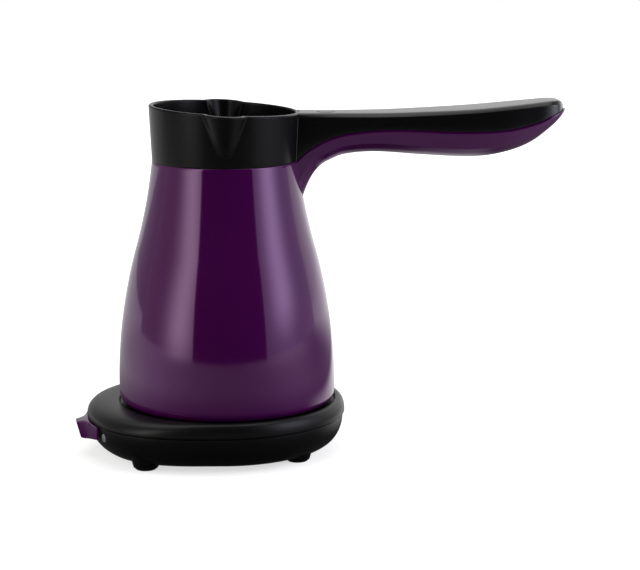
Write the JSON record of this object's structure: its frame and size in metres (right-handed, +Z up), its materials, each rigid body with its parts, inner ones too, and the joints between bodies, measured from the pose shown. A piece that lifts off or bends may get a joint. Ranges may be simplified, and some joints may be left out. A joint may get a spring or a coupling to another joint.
{
  "type": "electric coffee pot with cordless base",
  "caption": "Waisted electric pot with a long handle and two spouts, turning on a round cordless connector in a low base with a switch lever and a lamp.",
  "frame": {"origin": "on the pot's axis, at the table's plane", "axes": "+X along the handle, +Y to one spout, +Z up"},
  "size_m": [0.2376, 0.1153, 0.1697],
  "materials": {
    "purple_gloss": "deep purple, glossy",
    "black_satin": "black, satin",
    "black_gloss": "black, glossy",
    "base_black": "black, fine satin grain",
    "connector_black": "black, moulded",
    "steel": "stainless, turned inside",
    "aluminium": "cast plate",
    "element_metal": "dull sheath",
    "ceramic": "moulded resin body",
    "fuse_body": "sleeved fuse",
    "spring_steel": "spring strip",
    "screw_steel": "zinc plated",
    "brass": "plain",
    "seal_rubber": "soft seal",
    "foot_rubber": "matte",
    "gland_rubber": "matte",
    "ring_white": "slippery plastic",
    "ivory_plastic": "moulded",
    "lens": "clear, greyish when off",
    "neon_glass": "small neon lamp",
    "pot_wire": "silicone sleeve",
    "base_wire": "insulated wire"
  },
  "bodies": {
    "base": {"base_top": "base_black", "base_bottom": "base_black", "base_screws": "screw_steel", "feet": "foot_rubber", "lower_connector": "connector_black", "connector_contacts": "brass", "lower_connector_screws": "screw_steel", "switch_frame": "ivory_plastic", "switch_screws": "screw_steel", "pivot_pin": "screw_steel", "switch_terminals": "brass", "detent_spring": "spring_steel", "lamp_lens": "lens", "neon_lamp": "neon_glass", "lamp_holder": "connector_black", "cord_gland": "gland_rubber", "terminal_block": "ivory_plastic", "terminal_screws": "brass", "base_wires": "base_wire"},
    "swivel": {"swivel_ring": "ring_white"},
    "pot": {"outer_shell": "purple_gloss", "collar": "black_satin", "liner": "steel", "liner_gasket": "seal_rubber", "heater_plate": "aluminium", "heater_element": "element_metal", "thermostat": "ceramic", "thermostat_clip": "spring_steel", "thermal_fuse": "fuse_body", "pot_base": "base_black", "pot_base_screws": "screw_steel", "upper_connector": "connector_black", "connector_pins": "brass", "upper_connector_screws": "screw_steel", "pot_wires": "pot_wire", "handle_top": "black_gloss", "handle_grip": "purple_gloss", "handle_cap": "black_gloss", "handle_screw": "screw_steel", "grip_screws": "screw_steel"},
    "lever": {"switch_lever": "purple_gloss", "moving_contact": "brass"}
  },
  "joints": [
    {"name": "pot_turn", "type": "hinge", "parent": "base", "child": "swivel", "pos_m": [0, 0, 0.0244], "axis": [0, 0, 1], "continuous": true},
    {"name": "pot_lift", "type": "slide", "parent": "swivel", "child": "pot", "axis": [0, 0, 1], "range_m": [0, 0.06]},
    {"name": "lever", "type": "hinge", "parent": "base", "child": "lever", "pos_m": [-0.05636, -0.00852, 0.0141], "axis": [0.1495, -0.9888, 0], "range_deg": [0, 12]}
  ]
}
